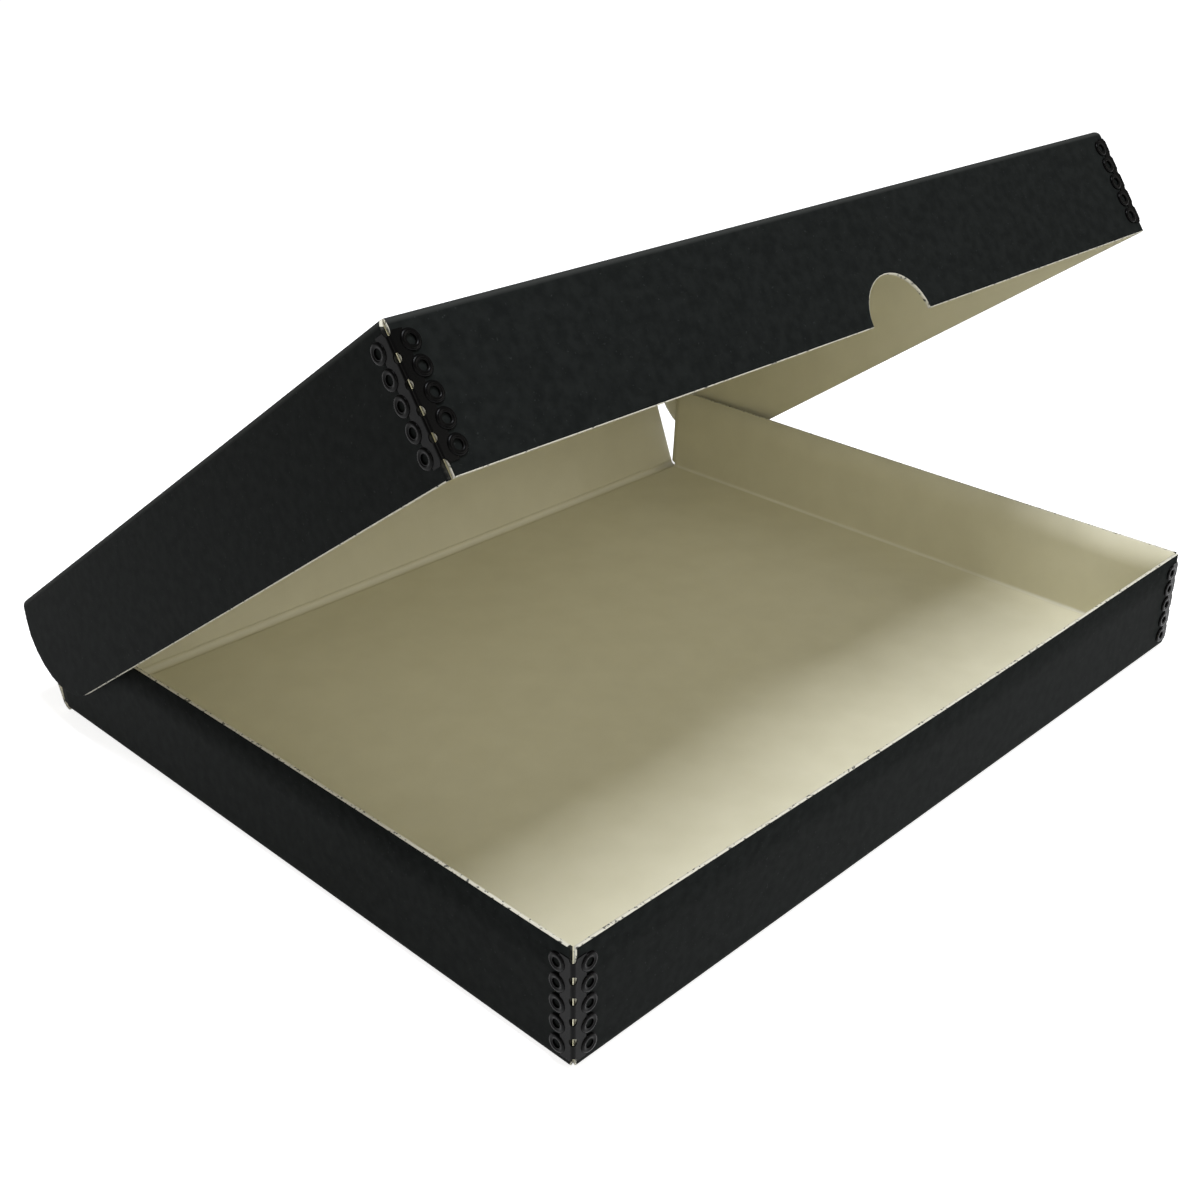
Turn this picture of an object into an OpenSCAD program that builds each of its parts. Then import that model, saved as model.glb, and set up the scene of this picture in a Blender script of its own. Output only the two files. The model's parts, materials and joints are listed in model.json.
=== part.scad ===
// Archival storage box: a shallow clamshell box of thin folded board.
// Tray, spine and lid are one sheet of board, joined by two moving folds,
// with a stamped metal stay wrapped round each of the four fixed corners.
// Shown at rest: spine leaning back, lid raised behind the tray.
// X runs along the folds, -Y is the tray's front, +Z is up.
// The origin is the centre of the tray's underside. Millimetres.

/* [Tray] */
// outside width of the tray, along the folds
tray_width = 368.3; // [200:0.1:600]
// outside depth of the tray, front to back
tray_depth = 292.1; // [150:0.1:450]
// outside height of the tray walls
tray_height = 44.45; // [25:0.05:90]
// thickness of the board
board_t = 1.3; // [0.8:0.1:2.5]
// outer radius of the fixed folds
fold_r = 2.8; // [2:0.1:6]
// slit left between two walls where they meet at a corner
corner_slit = 0.2; // [0.1:0.1:0.6]

/* [Lid] */
// clearance between tray wall and lid wall at each side
lid_side_clearance = 3; // [1:0.1:5]
// clearance between tray wall and lid wall at the front
lid_front_clearance = 2.9; // [1:0.1:5]
// clearance between the tray wall's top edge and the closed lid
lid_top_clearance = 0.5; // [0.2:0.1:2]
// height of the closed lid's lower edge above the tray's underside
lid_edge_above_base = 0.5; // [0.5:0.1:5]
// radius of the round on the rear lower corner of each lid side wall
lid_round_r = 32; // [8:1:40]
// how far each lid side wall runs back behind the spine
lid_side_overhang = 0.2; // [0:0.1:6]

/* [Thumb notch] */
// radius of the notch's arc
notch_r = 16.8; // [12:0.1:30]
// depth of the notch, up from the lid wall's lower edge
notch_depth = 16; // [6:0.5:25]
// distance of the notch to the right of the lid's middle
notch_offset = 16; // [-60:0.5:60]

/* [Moving folds] */
// length from a fold's axis to where the flat board starts
fold_reach = 2.8; // [2.5:0.1:6]
// how far the spine's ends stand in from the tray's outer sides
spine_inset = 0.4; // [0:0.1:6]
// angle the spine leans back from upright
spine_lean = 21.4; // [0:0.1:90]
// angle of the lid above level
lid_rise = 35.3; // [0:0.1:90]

/* [Corner stays] */
// thickness of the stamped strip
stay_t = 0.35; // [0.2:0.05:0.6]
// distance between neighbouring lobes
stay_pitch = 7.5; // [5:0.1:12]
// distance of a lobe's hole from the corner
lobe_reach = 6.3; // [4:0.1:12]
// radius of a lobe
lobe_r = 3.3; // [2:0.1:5]
// diameter of the hole in a lobe
lobe_hole_d = 3.1; // [1.5:0.1:5]
// diameter of the holes on the corner line
centre_hole_d = 2.8; // [1.5:0.1:5]
// height of the raised ring round a hole
ring_height = 0.35; // [0.1:0.05:0.6]
// width of the raised ring round a hole
ring_width = 0.8; // [0.4:0.05:1.5]

/* [Hidden] */
$fn = 48;
W = tray_width;
D = tray_depth;
H = tray_height;
t = board_t;
// spine_fold's axis, and lid_fold's axis with the box closed
ax1_y = D/2 - t/2;
ax1_z = t/2;
spine_len = H + lid_top_clearance;
// lid outside, in the closed pose
lid_w = W + 2*(lid_side_clearance + t);
lid_front = -D/2 - lid_front_clearance - t;
lid_top = H + lid_top_clearance + t;
lid_wall = lid_top - lid_edge_above_base;
lid_rear_flat = ax1_y - fold_reach;
lid_side_rear = D/2 + lid_side_overhang;
spine_w = W - 2*spine_inset;
// the tray's side walls reach back to the inner face of the closed spine
wall_rear = D/2 - t - corner_slit;

// ---- poses ----
// turns a closed spine back about the lower fold
module lean() {
  translate([0, ax1_y, ax1_z]) rotate([-spine_lean, 0, 0])
    translate([0, -ax1_y, -ax1_z]) children();
}
// turns a closed lid up about the upper fold, then back with the spine
module raise() {
  lean()
    translate([0, ax1_y, ax1_z + spine_len]) rotate([-(lid_rise - spine_lean), 0, 0])
      translate([0, -ax1_y, -ax1_z - spine_len]) children();
}

// ---- sections ----
// quarter bend of board with its outer corner at the origin, then a wall up;
// the floor side ends at x = fold_r
module bend_and_wall(h) {
  union() {
    intersection() {
      translate([fold_r, fold_r]) difference() {
        circle(r=fold_r, $fn=64);
        circle(r=fold_r - t, $fn=64);
      }
      square([fold_r, fold_r]);
    }
    translate([0, fold_r]) square([t, h - fold_r]);
  }
}

// ---- board ----
module tray_board() {
  color([0.05, 0.05, 0.045]) union() {
    // floor
    translate([-W/2 + fold_r, -D/2 + fold_r, 0])
      cube([W - 2*fold_r, ax1_y - fold_reach + D/2 - fold_r, t]);
    // front wall
    translate([-(W/2 - t - corner_slit), -D/2, 0]) rotate([90, 0, 90])
      linear_extrude(height = W - 2*(t + corner_slit)) bend_and_wall(H);
    // side walls
    for (m = [0, 1]) mirror([m, 0, 0]) {
      translate([-W/2, ax1_y - fold_reach, 0]) rotate([90, 0, 0])
        linear_extrude(height = ax1_y - fold_reach + D/2 - t) bend_and_wall(H);
      translate([-W/2, 0, fold_r]) cube([t, wall_rear, H - fold_r]);
    }
  }
}

module spine_board() {
  color([0.05, 0.05, 0.045]) lean()
    translate([-spine_w/2, D/2 - t, ax1_z + fold_reach])
      cube([spine_w, t, spine_len - 2*fold_reach]);
}

// strip of board bent round a moving fold by the given angle; it starts at
// the end of a level board lying towards -Y and turns up
module strip(width, bend) {
  r = fold_reach / tan(bend/2);
  n = 24;
  arc = [for (i = [0:n]) let (a = bend*i/n) [a, 0]];
  translate([-width/2, 0, 0]) rotate([90, 0, 90]) linear_extrude(height = width)
    polygon(concat(
      [for (p = arc) [-fold_reach + (r + t/2)*sin(p[0]), r - (r + t/2)*cos(p[0])]],
      [for (i = [n:-1:0]) let (a = arc[i][0])
        [-fold_reach + (r - t/2)*sin(a), r - (r - t/2)*cos(a)]]));
}

module tray_fold_strip() {
  color([0.05, 0.05, 0.045])
    translate([0, ax1_y, ax1_z]) strip(spine_w, 90 - spine_lean);
}

module lid_fold_strip() {
  color([0.05, 0.05, 0.045]) raise()
    translate([0, ax1_y, ax1_z + spine_len]) mirror([0, 0, 1])
      strip(spine_w, 90 - (lid_rise - spine_lean));
}

// side wall of the lid seen from its side: y to the rear, z up, closed pose
module lid_side_profile() {
  difference() {
    translate([lid_front + t + corner_slit, lid_edge_above_base])
      square([lid_side_rear - lid_front - t - corner_slit, lid_wall]);
    // round at the lower rear corner
    difference() {
      translate([lid_side_rear - lid_round_r, lid_edge_above_base - 1])
        square([lid_round_r + 1, lid_round_r + 1]);
      translate([lid_side_rear - lid_round_r, lid_edge_above_base + lid_round_r])
        circle(r=lid_round_r, $fn=128);
    }
    // slope from the fold's end out to the rearmost point
    polygon([[lid_rear_flat, lid_top + 1], [lid_rear_flat + 0.001, lid_top - 0.2],
             [D/2 - 3, lid_top - 2.6],
             [lid_side_rear - 1.5, lid_top - 7], [lid_side_rear, lid_top - 14],
             [lid_side_rear + 5, lid_top - 14], [lid_side_rear + 5, lid_top + 1]]);
  }
}

module lid_closed() {
  difference() {
    union() {
      // top panel
      translate([-lid_w/2 + fold_r, lid_front + fold_r, lid_top - t])
        cube([lid_w - 2*fold_r, lid_rear_flat - lid_front - fold_r, t]);
      // front wall
      translate([-(lid_w/2 - t - corner_slit), lid_front, lid_top]) mirror([0, 0, 1])
        rotate([90, 0, 90]) linear_extrude(height = lid_w - 2*(t + corner_slit))
          bend_and_wall(lid_wall);
      // side walls, cut to the side profile
      intersection() {
        for (m = [0, 1]) mirror([m, 0, 0])
          translate([-lid_w/2, lid_side_rear, lid_top]) mirror([0, 0, 1])
            rotate([90, 0, 0])
              linear_extrude(height = lid_side_rear - lid_front) bend_and_wall(lid_wall);
        translate([-lid_w/2 - 1, 0, 0]) rotate([90, 0, 90])
          linear_extrude(height = lid_w + 2) lid_side_profile();
      }
    }
    // thumb notch
    translate([notch_offset, lid_front - 5, lid_edge_above_base - notch_r + notch_depth])
      rotate([-90, 0, 0]) cylinder(r = notch_r, h = 10, $fn = 128);
  }
}

module lid_board() {
  color([0.05, 0.05, 0.045]) raise() lid_closed();
}

// ---- corner stays ----
stay_len = 5 * stay_pitch;

// one leg laid flat: x away from the corner, y up, centred on the wall
module leg_outline() {
  difference() {
    union() {
      translate([0.9, -stay_len/2]) square([lobe_reach - 2.1, stay_len]);
      for (k = [-2:2]) {
        translate([lobe_reach, k*stay_pitch]) circle(r = lobe_r, $fn = 32);
        translate([lobe_reach - 3, k*stay_pitch - lobe_r + 0.35]) square([3, 2*lobe_r - 0.7]);
      }
    }
    for (k = [-2:2]) translate([lobe_reach, k*stay_pitch]) circle(d = lobe_hole_d, $fn = 24);
    for (k = [-2.5:1:2.5]) translate([0, k*stay_pitch]) circle(d = centre_hole_d, $fn = 24);
  }
}

module leg() {
  linear_extrude(height = stay_t) leg_outline();
  for (k = [-2:2]) translate([lobe_reach, k*stay_pitch, stay_t])
    linear_extrude(height = ring_height) difference() {
      circle(d = lobe_hole_d + 2*ring_width, $fn = 24);
      circle(d = lobe_hole_d, $fn = 24);
    }
}

// strip wrapped round a vertical corner whose faces lie along +X and +Y
module stay() {
  union() {
    // leg on the front face
    rotate([90, 0, 0]) leg();
    // leg on the side face
    mirror([1, -1, 0]) rotate([90, 0, 0]) leg();
    // bend at the corner
    difference() {
      intersection() {
        translate([0.9, 0.9, -stay_len/2]) difference() {
          cylinder(r = 0.9 + stay_t, h = stay_len, $fn = 48);
          translate([0, 0, -1]) cylinder(r = 0.9, h = stay_len + 2, $fn = 48);
        }
        translate([-1, -1, -stay_len]) cube([1.9, 1.9, 2*stay_len]);
      }
      for (k = [-2.5:1:2.5]) translate([-2, -2, k*stay_pitch]) rotate([0, 90, 45])
        cylinder(d = centre_hole_d, h = 5, $fn = 24);
    }
  }
}

// right-hand corner at (x, y), with the stay's middle at height z
module stay_at(side, x, y, z) {
  if (side < 0) translate([-x, y, z]) stay();
  else mirror([1, 0, 0]) translate([-x, y, z]) stay();
}

module tray_stay_left() { color([0.04, 0.04, 0.04]) stay_at(-1, W/2, -D/2, H/2); }
module tray_stay_right() { color([0.04, 0.04, 0.04]) stay_at(1, W/2, -D/2, H/2); }
module lid_stay_left() {
  color([0.04, 0.04, 0.04]) raise()
    stay_at(-1, lid_w/2, lid_front, lid_top - lid_wall/2);
}
module lid_stay_right() {
  color([0.04, 0.04, 0.04]) raise()
    stay_at(1, lid_w/2, lid_front, lid_top - lid_wall/2);
}

tray_board();
tray_fold_strip();
tray_stay_left();
tray_stay_right();
spine_board();
lid_board();
lid_fold_strip();
lid_stay_left();
lid_stay_right();
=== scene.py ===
import json
import math

import bmesh
import bpy
from mathutils import Matrix, Quaternion, Vector


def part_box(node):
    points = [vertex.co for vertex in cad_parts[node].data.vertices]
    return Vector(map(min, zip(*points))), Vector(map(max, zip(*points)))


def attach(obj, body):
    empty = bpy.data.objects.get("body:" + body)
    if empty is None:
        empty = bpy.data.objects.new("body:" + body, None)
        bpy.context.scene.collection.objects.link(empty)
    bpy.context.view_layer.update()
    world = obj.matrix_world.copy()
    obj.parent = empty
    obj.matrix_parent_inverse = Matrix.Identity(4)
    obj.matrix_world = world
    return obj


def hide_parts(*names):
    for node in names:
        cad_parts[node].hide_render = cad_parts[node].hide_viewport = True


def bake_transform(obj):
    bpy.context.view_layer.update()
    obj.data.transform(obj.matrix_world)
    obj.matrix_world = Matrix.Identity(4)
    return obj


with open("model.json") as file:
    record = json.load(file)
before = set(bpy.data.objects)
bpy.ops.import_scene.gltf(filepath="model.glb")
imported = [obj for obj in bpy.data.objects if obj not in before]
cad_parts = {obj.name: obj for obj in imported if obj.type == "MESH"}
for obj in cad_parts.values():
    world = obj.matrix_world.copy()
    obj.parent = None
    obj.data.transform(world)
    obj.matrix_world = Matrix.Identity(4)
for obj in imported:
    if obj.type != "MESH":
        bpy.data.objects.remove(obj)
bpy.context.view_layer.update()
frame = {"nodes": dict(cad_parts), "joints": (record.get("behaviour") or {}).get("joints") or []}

# ---------------------------------------------------------------------------
# The tray. A floor with a front wall and two side walls folded up from one
# sheet of solid board, with black fibrous paper outside, cream paper inside
# and a pale grey core. The walls only touch at the corners, at open notches.
# ---------------------------------------------------------------------------
MM = 0.001
board_t = 1.3 * MM          # thickness of the board
fold_r = 2.8 * MM           # outer radius of a fixed fold
corner_slit = 0.2 * MM      # slit between two walls at a corner
fold_steps = 6              # facets in a quarter fold
support = 1.0 * MM          # narrow row beside a fold, keeps the flats flat
sheet_columns = 16          # columns across the sheet, the same in every piece
panel_rows = 12             # rows from front to rear in the floor and the lid's top

tray_low, tray_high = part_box("tray_board")
tray_w = tray_high.x - tray_low.x
tray_front = tray_low.y
tray_rear = tray_high.y
tray_h = tray_high.z
spine_fold, lid_fold = frame["joints"]
low_axis = Vector(spine_fold["pos_m"])
fold_reach = 2.8 * MM       # from a moving fold's axis to the flat board
floor_rear = low_axis.y - fold_reach
wall_grow = fold_r - board_t - corner_slit   # wall's end beyond the floor's flat
tray_bow = 1.0 * MM         # the front wall's top edge bows out at its middle
tray_rows = (0.4, 0.7)      # rows across a wall, as shares of its height
tray_flare = 2.4 * MM       # the side walls' free rear ends stand out at the top
flare_from = 0.25           # share of a side wall, from its front, left straight
near = 1e-5                 # a vertex this close to a plane counts as in it
nearer = 1e-6               # the same, where planes lie close together
slack = 0.05 * MM           # the same for edges moved a little by the widening
shaded_edge_slot = 5              # the board's facings again, but with the cut edge painted dark as shade


def paint(name, colour, rough, specular=0.3):
    """A material with one Principled shader; returns it with its node tree."""
    made = bpy.data.materials.new(name)
    made.use_nodes = True
    tree = made.node_tree
    shader = tree.nodes["Principled BSDF"]
    shader.inputs["Base Color"].default_value = (*colour, 1)
    shader.inputs["Roughness"].default_value = rough
    shader.inputs["Specular IOR Level"].default_value = specular
    return made, tree, shader


def noise(tree, scale, detail=4, stretch=(1, 1, 1)):
    """Noise on the piece's own coordinates, scale in cells per metre."""
    where = tree.nodes.new("ShaderNodeTexCoord")
    turn = tree.nodes.new("ShaderNodeMapping")
    turn.inputs["Scale"].default_value = stretch
    made = tree.nodes.new("ShaderNodeTexNoise")
    made.inputs["Scale"].default_value = scale
    made.inputs["Detail"].default_value = detail
    tree.links.new(where.outputs["Object"], turn.inputs["Vector"])
    tree.links.new(turn.outputs["Vector"], made.inputs["Vector"])
    return made.outputs["Fac"]


def ramp(tree, fac, *stops):
    """Colour ramp over a value; each stop is (place, colour)."""
    made = tree.nodes.new("ShaderNodeValToRGB")
    made.color_ramp.elements.remove(made.color_ramp.elements[0])
    for i, (place, colour) in enumerate(stops):
        stop = (made.color_ramp.elements[0] if i == 0
                else made.color_ramp.elements.new(place))
        stop.position = place
        stop.color = (*colour, 1)
    tree.links.new(fac, made.inputs["Fac"])
    return made.outputs["Color"]


def mixed(tree, fac, a, b, kind="MIX"):
    """Mixes two colours; each is an output or a plain colour."""
    made = tree.nodes.new("ShaderNodeMix")
    made.data_type = "RGBA"
    made.blend_type = kind
    for value, socket in ((fac, made.inputs["Factor"]),
                          (a, made.inputs["A"]), (b, made.inputs["B"])):
        if isinstance(value, bpy.types.NodeSocket):
            tree.links.new(value, socket)
        elif isinstance(value, tuple):
            socket.default_value = (*value, 1)
        else:
            socket.default_value = value
    return made.outputs["Result"]


def bumped(tree, shader, height, depth, strength=0.5):
    """Gives the shader's surface a relief of this depth in metres."""
    made = tree.nodes.new("ShaderNodeBump")
    made.inputs["Distance"].default_value = depth
    made.inputs["Strength"].default_value = strength
    tree.links.new(height, made.inputs["Height"])
    tree.links.new(made.outputs["Normal"], shader.inputs["Normal"])


def fold_mark(tree):
    """How far a point lies into a fold, as the mesh's own attribute says."""
    made = tree.nodes.new("ShaderNodeAttribute")
    made.attribute_name = "fold"
    return made.outputs["Fac"]


# black paper: mottled fibre with fine pale flecks; the folds are painted paler, partly wear and
# partly a painted highlight on their rounding
black_paper, tree, shader = paint("black_paper", (0.009, 0.010, 0.010), 0.75, 0.05)
mottle = ramp(tree, noise(tree, 260), (0.35, (0.0065, 0.0078, 0.0074)),
              (0.65, (0.0105, 0.0122, 0.0116)))
flecks = ramp(tree, noise(tree, 900, 6), (0.66, (0, 0, 0)), (0.74, (1, 1, 1)))
flecked = mixed(tree, flecks, mottle, (0.022, 0.025, 0.024))
# paler folds: partly wear, partly a painted highlight on the rounded fold
fold_wear_and_highlight = ramp(tree, fold_mark(tree), (0.2, (0, 0, 0)), (0.9, (0.9, 0.9, 0.9)))
worn_and_highlit_black = mixed(tree, fold_wear_and_highlight, flecked, (0.036, 0.038, 0.036))
tree.links.new(worn_and_highlit_black, shader.inputs["Base Color"])
bumped(tree, shader, noise(tree, 1400, 6), 0.05 * MM)

# cream paper: warm off-white with a faint fibre; each crease is painted paler, a painted
# highlight along the fold
cream_paper, tree, shader = paint("cream_paper", (0.73, 0.70, 0.54), 0.5, 0.4)
cloud = ramp(tree, noise(tree, 60), (0.3, (0.715, 0.685, 0.52)),
             (0.7, (0.755, 0.725, 0.56)))
# paler creases: a painted highlight along each fold
crease_highlight = ramp(tree, fold_mark(tree), (0.3, (0, 0, 0)), (0.9, (0.8, 0.8, 0.8)))
cream_with_crease_highlight = mixed(tree, crease_highlight, cloud, (0.82, 0.80, 0.68))
tree.links.new(cream_with_crease_highlight, shader.inputs["Base Color"])
bumped(tree, shader, noise(tree, 900, 5), 0.03 * MM, 0.35)

# cut edge: grey-cream core with a few specks of torn black facing
core_edge, tree, shader = paint("core_edge", (0.68, 0.66, 0.56), 0.9, 0.2)
specks = ramp(tree, noise(tree, 750, 6), (0.36, (0.10, 0.10, 0.09)),
              (0.43, (0.68, 0.66, 0.56)))
tree.links.new(specks, shader.inputs["Base Color"])

# cut edge painted dark: the side walls' ends at the corners, near-black with a faint mottle, as
# painted shade in the slits under the stays
painted_shade_edge, tree, shader = paint("painted_shade_edge", (0.014, 0.014, 0.013), 0.9, 0.05)
shade_mottle = ramp(tree, noise(tree, 600, 6), (0.45, (0.010, 0.010, 0.009)),
            (0.62, (0.05, 0.05, 0.043)))
tree.links.new(shade_mottle, shader.inputs["Base Color"])


def marked(bm):
    """The mesh layer that says how far a vertex lies into a fold."""
    return (bm.verts.layers.float.get("fold")
            or bm.verts.layers.float.new("fold"))


def extruded(bm, edges):
    """Extrudes a row of edges; returns the new edges and vertices."""
    made = bmesh.ops.extrude_edge_only(bm, edges=edges)["geom"]
    return ([g for g in made if isinstance(g, bmesh.types.BMEdge)],
            [g for g in made if isinstance(g, bmesh.types.BMVert)])


def folded(bm, edges, pivot, axis, angle, steps, widen=None):
    """Bends the sheet on from a row of edges, about an axis through pivot.

    widen(bm, verts, share) moves the new vertices along the fold, where the
    wall is longer than the flat; share grows with the sine of the angle."""
    mark = marked(bm)
    grown = 0
    for step in range(1, steps + 1):
        edges, verts = extruded(bm, edges)
        bmesh.ops.rotate(bm, verts=verts, cent=pivot,
                         matrix=Matrix.Rotation(angle / steps, 3, axis))
        share = math.sin(abs(angle) * step / steps)
        if widen:
            widen(bm, verts, share - grown)
            grown = share
        for v in verts:
            v[mark] = math.sin(math.pi * step / steps)
    return edges


def widened(axis, fixed, length):
    """For folded: lengthens a row away from one coordinate along an axis."""
    def widen(bm, verts, share):
        vec = [1, 1, 1]
        vec[axis] += wall_grow * share / length
        origin = Vector([fixed * (i == axis) for i in range(3)])
        bmesh.ops.scale(bm, verts=verts, vec=vec, space=Matrix.Translation(-origin))
    return widen


def walled(bm, edges, heights, direction):
    """Runs a wall on from a fixed fold's last edges, one row for each height."""
    at = fold_r
    for height in heights:
        edges, verts = extruded(bm, edges)
        bmesh.ops.translate(bm, verts=verts, vec=Vector(direction) * (height - at))
        at = height
    return edges


def faced(edges, slot):
    """Gives the faces along these free edges another of the sheet's slots."""
    for e in edges:
        for f in e.link_faces:
            f.material_index = slot


def edges_at(bm, axis, value, off=nearer):
    """Open edges that lie in the plane where one coordinate has this value."""
    return [e for e in bm.edges if e.is_boundary
            and all(abs(v.co[axis] - value) < off for v in e.verts)]


def panel(bm, low, high, z, rows):
    """A flat sheet between two corners, cut into a grid, with narrow rows
    beside its edges so that the folds don't shade into it."""
    made = bmesh.ops.create_grid(bm, x_segments=sheet_columns, y_segments=rows,
                                 size=0.5)
    size = Vector((high[0] - low[0], high[1] - low[1], 1))
    centre = Vector(((high[0] + low[0]) / 2, (high[1] + low[1]) / 2, z))
    bmesh.ops.scale(bm, verts=made["verts"], vec=size)
    bmesh.ops.translate(bm, verts=made["verts"], vec=centre)
    for axis, value in ((0, low[0] + support), (0, high[0] - support),
                        (1, low[1] + support), (1, high[1] - support)):
        normal = Vector((axis == 0, axis == 1, 0))
        bmesh.ops.bisect_plane(bm, geom=bm.verts[:] + bm.edges[:] + bm.faces[:],
                               plane_co=normal * value, plane_no=normal)


def board(name, bm, outward, place=None):
    """Makes the sheet's outer face into a piece of board with a thickness.

    outward is a point on the sheet and the direction that it faces there."""
    bmesh.ops.recalc_face_normals(bm, faces=bm.faces[:])
    point, look = outward
    nearest = min(bm.faces, key=lambda f: (f.calc_center_median() - point).length)
    if nearest.normal.dot(look) < 0:
        bmesh.ops.reverse_faces(bm, faces=bm.faces[:])
    if place:
        bmesh.ops.transform(bm, matrix=place, verts=bm.verts[:])
    for f in bm.faces:
        f.smooth = True
    mesh = bpy.data.meshes.new(name)
    bm.to_mesh(mesh)
    bm.free()
    made = bpy.data.objects.new(name, mesh)
    bpy.context.scene.collection.objects.link(made)
    # Solidify adds 1 to a face's slot for the inside and 2 for its cut edge, so
    # the plain sheet starts at slot 0, the bare core at 2, the one whose cut edge is painted
    # dark as shade at 5
    for material in (black_paper, cream_paper, core_edge, core_edge, core_edge,
                     black_paper, cream_paper, painted_shade_edge):
        mesh.materials.append(material)
    thick = made.modifiers.new("board", "SOLIDIFY")
    thick.thickness = board_t
    thick.offset = -1
    thick.material_offset = 1
    thick.material_offset_rim = 2
    return made


bm = bmesh.new()
floor_low = (tray_low.x + fold_r, tray_front + fold_r)
floor_high = (tray_high.x - fold_r, floor_rear)
panel(bm, floor_low, floor_high, 0, panel_rows)

# front wall
rows = [fold_r + support, *(share * tray_h for share in tray_rows), tray_h]
edges = folded(bm, edges_at(bm, 1, floor_low[1]),
               Vector((0, floor_low[1], fold_r)), "X",
               -math.pi / 2, fold_steps, widened(0, 0, floor_high[0]))
walled(bm, edges, rows, (0, 0, 1))

# side walls
for side in (-1, 1):
    edges = folded(bm, edges_at(bm, 0, side * floor_high[0]),
                   Vector((side * floor_high[0], 0, fold_r)), "Y",
                   -side * math.pi / 2, fold_steps,
                   widened(1, floor_rear, floor_rear - floor_low[1]))
    walled(bm, edges, rows, (0, 0, 1))

# the side walls' front ends at the corners get a cut edge painted dark, as painted shade in the
# slits under the stays
faced(edges_at(bm, 1, floor_low[1] - wall_grow, slack), shaded_edge_slot)

# above their folds the side walls reach back to the spine; the front wall
# bows out a little, and the side walls' free ends lean out
for v in bm.verts:
    if v.co.z > fold_r + near and abs(v.co.y - floor_rear) < nearer:
        v.co.y = tray_rear
    rise = max(0.0, v.co.z - fold_r) / (tray_h - fold_r)
    if abs(v.co.y - tray_front) < near:
        v.co.y -= tray_bow * rise * math.cos(math.pi * v.co.x / tray_w) ** 2
    elif abs(abs(v.co.x) - tray_high.x) < near:
        share = (v.co.y - tray_front) / (tray_rear - tray_front)
        back = max(0.0, share - flare_from) / (1 - flare_from)
        v.co.x += math.copysign(tray_flare * rise * back ** 2, v.co.x)

tray = board("tray", bm, (Vector((0, 0, 0)), Vector((0, 0, -1))))
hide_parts("tray_board")
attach(tray, "tray")

# ---------------------------------------------------------------------------
# The spine. The narrow back panel of the same sheet, plain and flat, which
# leans back at rest. The box is closed where both moving folds stand at their
# lower limits, so spine and lid are laid out closed and then turned back.
# ---------------------------------------------------------------------------
lean = math.radians(-spine_fold["range_deg"][0])
lift = math.radians(-lid_fold["range_deg"][0])
spine_len = (Vector(lid_fold["pos_m"]) - low_axis).length
top_axis = low_axis + Vector((0, 0, spine_len))


def turned(point, angle):
    """Turns back by this angle about an axis along X through the point."""
    return (Matrix.Translation(point) @ Matrix.Rotation(-angle, 4, "X")
            @ Matrix.Translation(-point))


leaning = turned(low_axis, lean)
raised = leaning @ turned(top_axis, lift)

spine_low, spine_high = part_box("spine_board")
spine_back = low_axis.y + board_t / 2
spine_rows = 3
bm = bmesh.new()
panel(bm, (spine_low.x, low_axis.z + fold_reach),
      (spine_high.x, top_axis.z - fold_reach), 0, spine_rows)
bmesh.ops.rotate(bm, verts=bm.verts[:], cent=(0, 0, 0),
                 matrix=Matrix.Rotation(math.pi / 2, 3, "X"))
bmesh.ops.translate(bm, verts=bm.verts[:], vec=(0, spine_back, 0))
spine = board("spine", bm, (Vector((0, spine_back, 0.02)), Vector((0, 1, 0))), leaning)
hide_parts("spine_board")
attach(spine, "spine")

# ---------------------------------------------------------------------------
# The moving folds. Two strips of the same sheet, scored and bent: one
# between floor and spine, one between spine and lid, each bent as it
# stands at rest.
# ---------------------------------------------------------------------------
strip_steps = 10            # facets round a moving fold


def moving_fold(start_z, up, axis_point, turn):
    """A strip that leaves a level board and turns towards the spine."""
    radius = fold_reach / math.tan(turn / 2)
    start_y = axis_point.y - fold_reach
    bm = bmesh.new()
    ends = [bm.verts.new((x, start_y, start_z)) for x in (spine_low.x, spine_high.x)]
    edge = bm.edges.new(ends)
    bmesh.ops.subdivide_edges(bm, edges=[edge], cuts=sheet_columns - 1)
    row = bm.edges[:]
    pivot = Vector((0, start_y, axis_point.z + up * radius))
    folded(bm, row, pivot, "X", up * turn, strip_steps)
    return bm


bm = moving_fold(0, 1, low_axis, math.pi / 2 - lean)
tray_fold = board("tray_fold", bm,
                  (Vector((0, low_axis.y - fold_reach, 0)), Vector((0, 0, -1))))
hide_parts("tray_fold_strip")
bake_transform(tray_fold)

lid_top = top_axis.z + board_t / 2
bm = moving_fold(lid_top, -1, top_axis, math.pi / 2 - lift)
lid_strip = board("lid_fold", bm,
                  (Vector((0, top_axis.y - fold_reach, lid_top)), Vector((0, 0, 1))),
                  raised)
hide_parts("lid_fold_strip")
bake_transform(lid_strip)

# ---------------------------------------------------------------------------
# The lid. A top panel with a front wall and two side walls, folded as the
# tray is. The side walls are rounded at the rear, where they pass the
# tray's walls, and the front wall has a thumb notch in its free edge.
# ---------------------------------------------------------------------------
closed = [raised.inverted() @ v.co for v in frame["nodes"]["lid_board"].data.vertices]
lid_low = Vector([min(c[i] for c in closed) for i in range(3)])
lid_high = Vector([max(c[i] for c in closed) for i in range(3)])
lid_wall = lid_high.z - lid_low.z
lid_rear_flat = low_axis.y - fold_reach
lid_round = 32 * MM         # round on a side wall's rear lower corner
round_angles = (12, 24, 36, 48, 60, 70)     # a row of the wall at each, degrees
rear_slope = (              # a side wall's rear edge: depth below the top, and y
    (0, lid_rear_flat), (2.6 * MM, low_axis.y - 2.35 * MM),
    (7 * MM, lid_high.y - 1.5 * MM), (14 * MM, lid_high.y))
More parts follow.
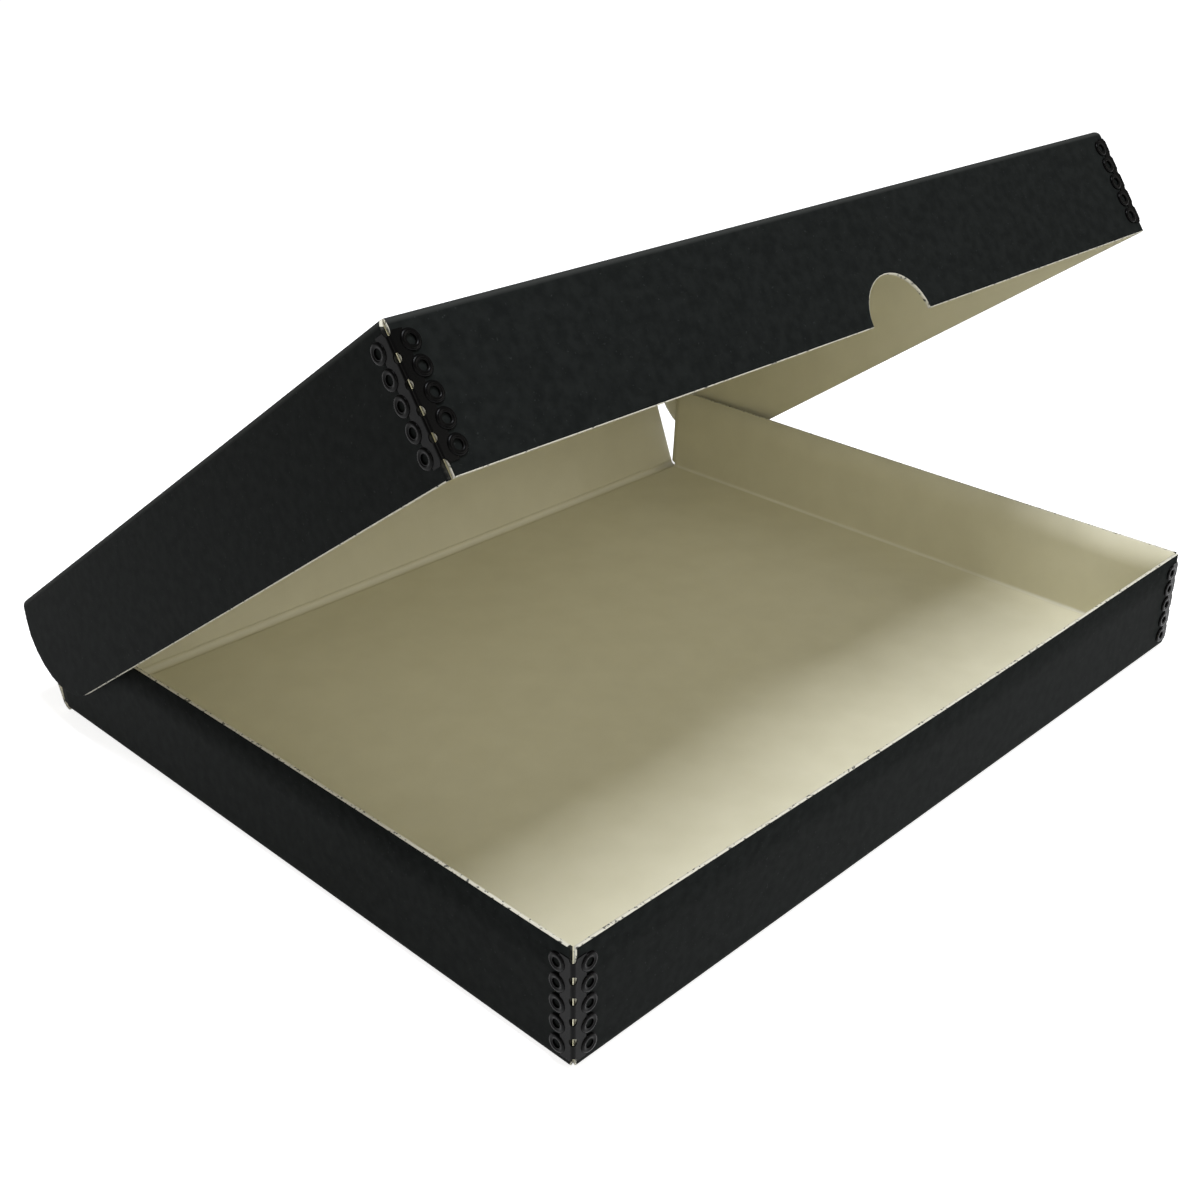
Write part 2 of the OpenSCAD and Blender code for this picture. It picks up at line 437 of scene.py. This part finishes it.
lid_bow = 1.0 * MM          # the front wall's free edge bows in at its middle
lid_flare = 3.0 * MM        # the side walls' free rear ends stand out
notch_r = 16.8 * MM         # radius of the thumb notch
notch_depth = 16 * MM
notch_x = 16 * MM           # the notch's middle, right of the lid's
notch_columns = 18          # columns that draw the notch's arc
notch_margin = 4 * MM       # from the notch up to the next row of the wall
front_row = 0.35            # the row above that, as a share of the wall's height
worn_rim = 0.25 * MM        # the facing is worn off this far from a cut edge
worn_slot = 2               # the bare core, for the worn rims
drawn_length = 50 * MM      # rear length over which a side wall's rows are drawn


def side_rear(depth):
    """How far back a side wall reaches, this far below the lid's top."""
    below = depth - (lid_wall - lid_round)
    if below > 0:
        return lid_high.y - lid_round + math.sqrt(max(0, lid_round**2 - below**2))
    for (d0, y0), (d1, y1) in zip(rear_slope, rear_slope[1:]):
        if depth <= d1:
            return y0 + (y1 - y0) * (depth - d0) / (d1 - d0)
    return lid_high.y


bm = bmesh.new()
panel_low = (lid_low.x + fold_r, lid_low.y + fold_r)
panel_high = (lid_high.x - fold_r, lid_rear_flat)
panel(bm, panel_low, panel_high, lid_top, panel_rows)

# front wall
edges = folded(bm, edges_at(bm, 1, panel_low[1]),
               Vector((0, panel_low[1], lid_top - fold_r)), "X",
               math.pi / 2, fold_steps, widened(0, 0, panel_high[0]))
notch_row = lid_wall - notch_depth - notch_margin
rows = [fold_r + support, front_row * lid_wall, notch_row,
        lid_wall - worn_rim, lid_wall]
faced(walled(bm, edges, rows, (0, 0, -1)), worn_slot)

# thumb notch: the free edge slides up to the arc, column by column
reach = math.acos((notch_r - notch_depth) / notch_r)
for i in range(notch_columns + 1):
    angle = reach * (2 * i / notch_columns - 1)
    x = notch_x + notch_r * math.sin(angle)
    lowest = [f for f in bm.faces
              if all(v.co.z < lid_top - notch_row + nearer for v in f.verts)]
    geom = lowest + list({e for f in lowest for e in f.edges})
    geom += list({v for f in lowest for v in f.verts})
    bmesh.ops.bisect_plane(bm, geom=geom, plane_co=(x, 0, 0), plane_no=(1, 0, 0))
for v in bm.verts:
    off = v.co.x - notch_x
    if (v.co.z < lid_top - lid_wall + worn_rim + nearer
            and abs(off) < notch_r * math.sin(reach)):
        v.co.z += math.sqrt(notch_r**2 - off**2) - (notch_r - notch_depth)

# side walls
rows = [fold_r + support, rear_slope[2][0], lid_wall - lid_round]
rows += [lid_wall - lid_round * (1 - math.sin(math.radians(a))) for a in round_angles]
rows += [lid_wall - worn_rim, lid_wall]
for side in (-1, 1):
    edges = folded(bm, edges_at(bm, 0, side * panel_high[0]),
                   Vector((side * panel_high[0], 0, lid_top - fold_r)), "Y",
                   side * math.pi / 2, fold_steps,
                   widened(1, lid_rear_flat, lid_rear_flat - panel_low[1]))
    faced(walled(bm, edges, rows, (0, 0, -1)), worn_slot)

# the lid's side walls' front ends at the corners get a cut edge painted dark, as painted shade
# in the slits under the stays
faced(edges_at(bm, 1, panel_low[1] - wall_grow, slack), shaded_edge_slot)

# the side walls' rear edges are drawn to the rounded outline; the front wall
# bows in a little, and the side walls' free ends lean out
drawn_from = lid_rear_flat - drawn_length
for v in bm.verts:
    if v.co.y > drawn_from and abs(v.co.x) > panel_high[0] + nearer:
        share = (v.co.y - drawn_from) / drawn_length
        v.co.y = drawn_from + share * (side_rear(lid_top - v.co.z) - drawn_from)
    drop = max(0.0, lid_top - fold_r - v.co.z) / (lid_wall - fold_r)
    if abs(v.co.y - lid_low.y) < near:
        v.co.y += lid_bow * drop * math.cos(math.pi * v.co.x / (2 * lid_high.x)) ** 2
    elif abs(abs(v.co.x) - lid_high.x) < near:
        share = (v.co.y - lid_low.y) / (lid_high.y - lid_low.y)
        back = max(0.0, share - flare_from) / (1 - flare_from)
        v.co.x += math.copysign(lid_flare * drop * back ** 2, v.co.x)

lid = board("lid", bm, (Vector((0, 0, lid_top)), Vector((0, 0, 1))), raised)
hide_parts("lid_board")
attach(lid, "lid")

# ---------------------------------------------------------------------------
# The corner stays. Stamped strips of thin steel in glossy black enamel,
# wrapped round the corners and clinched through the board. Each lobe has a
# hole with a raised round lip.
# ---------------------------------------------------------------------------
stay_t = 0.35 * MM
stay_pitch = 7.5 * MM       # from lobe to lobe
lobe_reach = 6.3 * MM       # from the corner to a lobe's hole
lobe_hole_r = 1.55 * MM
lip_r = 0.85 * MM           # half the width of a lobe's raised ring
lip_flat = 0.6              # the ring's height against its width
lip_sides = 10              # facets round the ring's section
lip_steps = 28              # and round its hole
lobes = range(-2, 3)        # five lobes on a leg, counted from the middle one

enamel, tree, shader = paint("black_enamel", (0.002, 0.002, 0.002), 0.25, 0.07)


def lips():
    """The ten lips of one stay; its corner is the origin, legs along X and Y."""
    bm = bmesh.new()
    wire = bmesh.ops.create_circle(bm, segments=lip_sides, radius=lip_r)["verts"]
    bmesh.ops.rotate(bm, verts=wire, cent=(0, 0, 0),
                     matrix=Matrix.Rotation(math.pi / 2, 3, "X"))
    bmesh.ops.translate(bm, verts=wire, vec=(lobe_hole_r + lip_r, 0, 0))
    bmesh.ops.spin(bm, geom=bm.verts[:] + bm.edges[:], cent=(0, 0, 0),
                   axis=(0, 0, 1), angle=2 * math.pi, steps=lip_steps, use_merge=True)
    bmesh.ops.remove_doubles(bm, verts=bm.verts[:], dist=nearer)
    bmesh.ops.scale(bm, verts=bm.verts[:], vec=(1, 1, lip_flat))
    one = bm.verts[:] + bm.edges[:] + bm.faces[:]
    flat_to_front = Matrix.Rotation(math.pi / 2, 4, "X")
    swap = Matrix(((0, 1, 0, 0), (1, 0, 0, 0), (0, 0, 1, 0), (0, 0, 0, 1)))
    for leg in (Matrix.Identity(4), swap):
        for k in lobes:
            copy = bmesh.ops.duplicate(bm, geom=one)["geom"]
            verts = [g for g in copy if isinstance(g, bmesh.types.BMVert)]
            place = Matrix.Translation((lobe_reach, -stay_t, k * stay_pitch))
            bmesh.ops.transform(bm, matrix=leg @ place @ flat_to_front, verts=verts)
    bmesh.ops.delete(bm, geom=[g for g in one if isinstance(g, bmesh.types.BMVert)],
                     context="VERTS")
    return bm


mirror_x = Matrix.Diagonal((-1, 1, 1, 1))
tray_corner = Matrix.Translation((tray_low.x, tray_front, tray_h / 2))
lid_corner = Matrix.Translation((lid_low.x, lid_low.y, lid_top - lid_wall / 2))
for name, body, place in (
        ("tray_stay_left", "tray", tray_corner),
        ("tray_stay_right", "tray", mirror_x @ tray_corner),
        ("lid_stay_left", "lid", raised @ lid_corner),
        ("lid_stay_right", "lid", raised @ mirror_x @ lid_corner)):
    strip = frame["nodes"][name]
    strip.data.materials.clear()
    strip.data.materials.append(enamel)
    bm = lips()
    bmesh.ops.transform(bm, matrix=place, verts=bm.verts[:])
    bmesh.ops.recalc_face_normals(bm, faces=bm.faces[:])
    for f in bm.faces:
        f.smooth = True
    mesh = bpy.data.meshes.new(name + "_lips")
    bm.to_mesh(mesh)
    bm.free()
    mesh.materials.append(enamel)
    rings = bpy.data.objects.new(name + "_lips", mesh)
    bpy.context.scene.collection.objects.link(rings)
    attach(rings, body)

# ---------------------------------------------------------------------------
# The studio: a white table that runs on behind as the backdrop, one soft
# lamp overhead, three weak low ones in front, and the camera.
# ---------------------------------------------------------------------------
table_size = 12
table_drop = 0.4 * MM       # the table's top lies this far below the box
table_glow = 0.8            # brightens the table for the camera and in gloss
warm = (1.0, 0.97, 0.91)    # colour of the low lamps and of the sky's light
low_size = 0.8

white, tree, shader = paint("white_table", (0.80, 0.80, 0.80), 1.0, 0.0)
ray = tree.nodes.new("ShaderNodeLightPath")
seen = tree.nodes.new("ShaderNodeMath")
seen.operation = "MAXIMUM"
tree.links.new(ray.outputs["Is Camera Ray"], seen.inputs[0])
tree.links.new(ray.outputs["Is Glossy Ray"], seen.inputs[1])
glow = tree.nodes.new("ShaderNodeEmission")
glow.inputs["Strength"].default_value = table_glow
both = tree.nodes.new("ShaderNodeAddShader")
pick = tree.nodes.new("ShaderNodeMixShader")
out = tree.nodes["Material Output"]
tree.links.new(shader.outputs["BSDF"], both.inputs[0])
tree.links.new(glow.outputs["Emission"], both.inputs[1])
tree.links.new(seen.outputs[0], pick.inputs[0])
tree.links.new(shader.outputs["BSDF"], pick.inputs[1])
tree.links.new(both.outputs[0], pick.inputs[2])
tree.links.new(pick.outputs[0], out.inputs["Surface"])

bpy.ops.mesh.primitive_plane_add(size=table_size, location=(0, 0, -table_drop))
table = bpy.context.object
table.name = "table"
table.data.materials.append(white)

world = bpy.data.worlds.new("studio")
bpy.context.scene.world = world
world.use_nodes = True
tree = world.node_tree
sky = tree.nodes["Background"]
sky.inputs["Color"].default_value = (*warm, 1)
sky.inputs["Strength"].default_value = 0.2
shown = tree.nodes.new("ShaderNodeBackground")
shown.inputs["Color"].default_value = (1, 1, 1, 1)
shown.inputs["Strength"].default_value = 1.0
ray = tree.nodes.new("ShaderNodeLightPath")
pick = tree.nodes.new("ShaderNodeMixShader")
tree.links.new(ray.outputs["Is Camera Ray"], pick.inputs[0])
tree.links.new(sky.outputs[0], pick.inputs[1])
tree.links.new(shown.outputs[0], pick.inputs[2])
tree.links.new(pick.outputs[0], tree.nodes["World Output"].inputs["Surface"])


def lamp(name, place, size, power, colour, aim=(0, 0, 50 * MM)):
    """A square soft lamp aimed at the box."""
    light = bpy.data.lights.new(name, "AREA")
    light.color = colour
    light.size = size
    light.energy = power
    made = bpy.data.objects.new(name, light)
    made.location = place
    towards = Vector(aim) - Vector(place)
    made.rotation_euler = towards.to_track_quat("-Z", "Y").to_euler()
    bpy.context.scene.collection.objects.link(made)


lamp("overhead", (-0.02, -0.33, 2.0), 0.75, 32, (0.98, 1.0, 1.06))
for name, place, power in (("low_left", (-1.28, -1.28, 0.93), 5.1),
                           ("low_right", (1.28, -1.28, 0.93), 4.2),
                           ("low_front", (0, -1.81, 0.93), 3.0)):
    lamp(name, place, low_size, power, warm)

# the camera, fitted to the box's edges in the photograph
camera_at = Vector((-0.43514, -0.39751, 0.33624))
camera_azimuth = math.radians(-46.336)
camera_elevation = math.radians(25.62)
camera_roll = 0.0119
frame_px = 1200
focal_px = 1596.7
centre_px = (608.6, 559.6)
camera = bpy.data.cameras.new("camera")
camera.sensor_width = 36
camera.lens = focal_px / frame_px * camera.sensor_width
camera.shift_x = (frame_px / 2 - centre_px[0]) / frame_px
camera.shift_y = (centre_px[1] - frame_px / 2) / frame_px
look = Vector((-math.sin(camera_azimuth) * math.cos(camera_elevation),
               math.cos(camera_azimuth) * math.cos(camera_elevation),
               -math.sin(camera_elevation)))
camera_object = bpy.data.objects.new("camera", camera)
camera_object.location = camera_at
camera_object.rotation_mode = "QUATERNION"
camera_object.rotation_quaternion = (look.to_track_quat("-Z", "Y")
                                     @ Quaternion((0, 0, 1), camera_roll))
camera.clip_start = 0.01
bpy.context.scene.collection.objects.link(camera_object)
bpy.context.scene.camera = camera_object
bpy.context.scene.view_settings.view_transform = "Standard"
